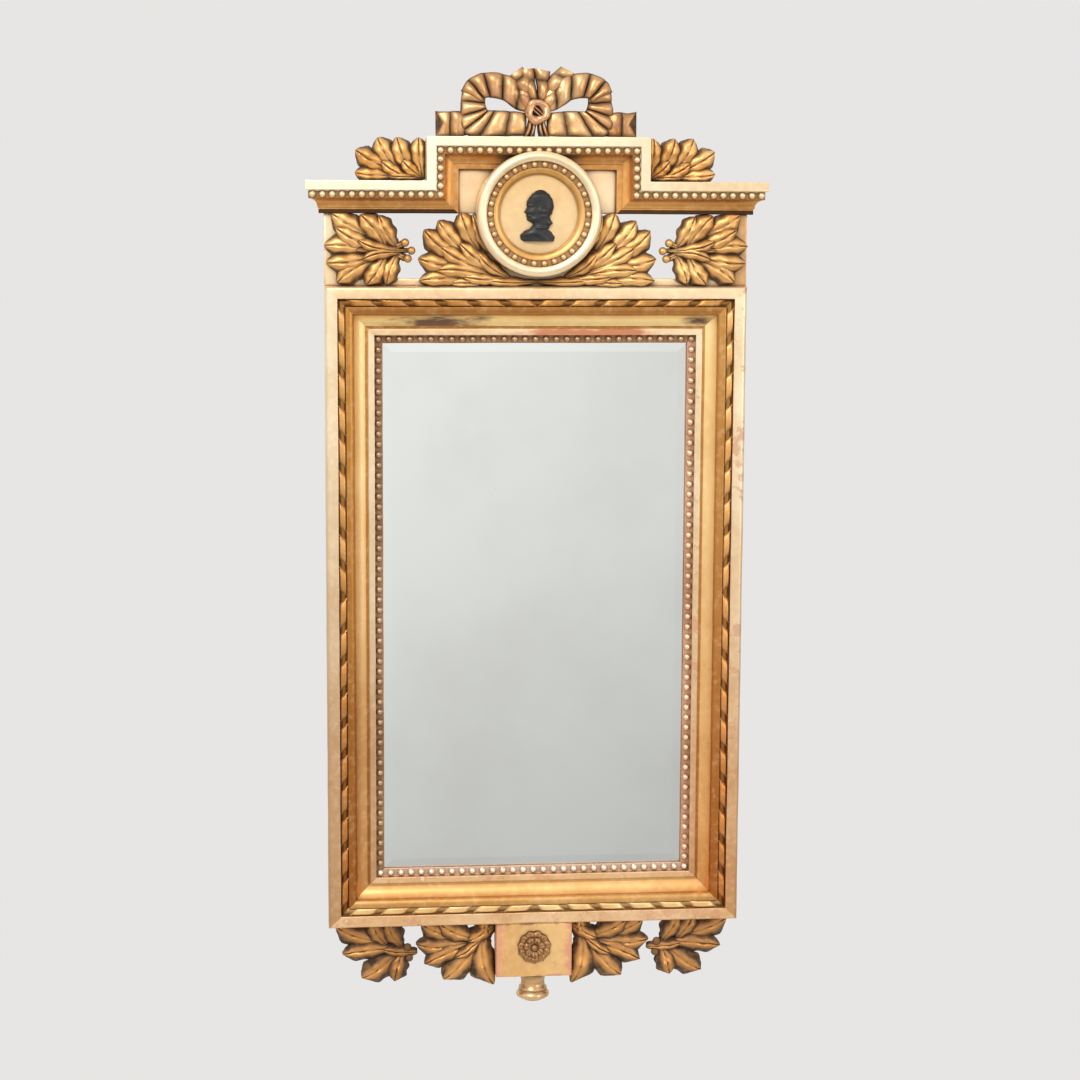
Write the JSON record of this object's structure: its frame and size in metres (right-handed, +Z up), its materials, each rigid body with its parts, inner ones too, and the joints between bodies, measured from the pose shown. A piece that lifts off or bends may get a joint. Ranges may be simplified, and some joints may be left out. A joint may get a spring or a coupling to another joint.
{
  "type": "wall mirror",
  "caption": "Gilded neoclassical wall mirror: mitred frame with ribbon-twist and pearl mouldings, stepped crest with medallion and bow, carved leaf sprays, hung by an iron ring.",
  "frame": {"origin": "centre of the backboard's back face, which is the plane that lies against the wall", "axes": "+X to the right seen from the front, +Y into the wall, +Z up; the mirror faces -Y"},
  "size_m": [0.456, 0.058, 0.9508],
  "materials": {
    "gilded_wood": "water gilding on red bole over carved wood, burnished on the fillets, worn and toned",
    "mirror_plate": "silvered plate with a ground bevel",
    "dark_patina": "near-black patina, satin",
    "raw_wood": "bare aged pine, planed",
    "wrought_iron": "forged, dark, dull"
  },
  "bodies": {
    "mirror": {"backboard": "raw_wood", "backboard_nails": "wrought_iron", "bottom_rail": "gilded_wood", "bow_knot": "gilded_wood", "bow_loop_left": "gilded_wood", "bow_loop_right": "gilded_wood", "bow_tail_left": "gilded_wood", "bow_tail_right": "gilded_wood", "bow_tuft": "gilded_wood", "centre_tablet": "gilded_wood", "cornice_low_left": "gilded_wood", "cornice_low_right": "gilded_wood", "cornice_return_left": "gilded_wood", "cornice_return_right": "gilded_wood", "cornice_riser_left": "gilded_wood", "cornice_riser_right": "gilded_wood", "cornice_spray_left": "gilded_wood", "cornice_spray_right": "gilded_wood", "cornice_top": "gilded_wood", "crest_battens": "raw_wood", "drop_finial": "gilded_wood", "frieze_post_left": "gilded_wood", "frieze_post_right": "gilded_wood", "frieze_sill": "gilded_wood", "frieze_spray_left": "gilded_wood", "frieze_spray_right": "gilded_wood", "glass_blocks": "raw_wood", "hanger_plate": "wrought_iron", "hanger_screws": "wrought_iron", "left_stile": "gilded_wood", "lower_inner_spray_left": "gilded_wood", "lower_inner_spray_right": "gilded_wood", "lower_outer_spray_left": "gilded_wood", "lower_outer_spray_right": "gilded_wood", "lower_tablet": "gilded_wood", "medallion_disc": "gilded_wood", "medallion_pearls": "gilded_wood", "medallion_ring": "gilded_wood", "mirror_glass": "mirror_plate", "pearls_low_left": "gilded_wood", "pearls_low_right": "gilded_wood", "pearls_riser_left": "gilded_wood", "pearls_riser_right": "gilded_wood", "pearls_top": "gilded_wood", "portrait_bust": "dark_patina", "right_stile": "gilded_wood", "rosette": "gilded_wood", "sight_pearls_bottom": "gilded_wood", "sight_pearls_left": "gilded_wood", "sight_pearls_right": "gilded_wood", "sight_pearls_top": "gilded_wood", "top_rail": "gilded_wood", "twist_bottom": "gilded_wood", "twist_left": "gilded_wood", "twist_right": "gilded_wood", "twist_top": "gilded_wood", "wreath_spray_left": "gilded_wood", "wreath_spray_right": "gilded_wood"},
    "ring": {"hanging_ring": "wrought_iron"}
  },
  "joints": [
    {"name": "ring_swing", "type": "hinge", "parent": "mirror", "child": "ring", "pos_m": [0, -0.0036, 0.3815], "axis": [1, 0, 0], "range_deg": [0, 180]}
  ]
}
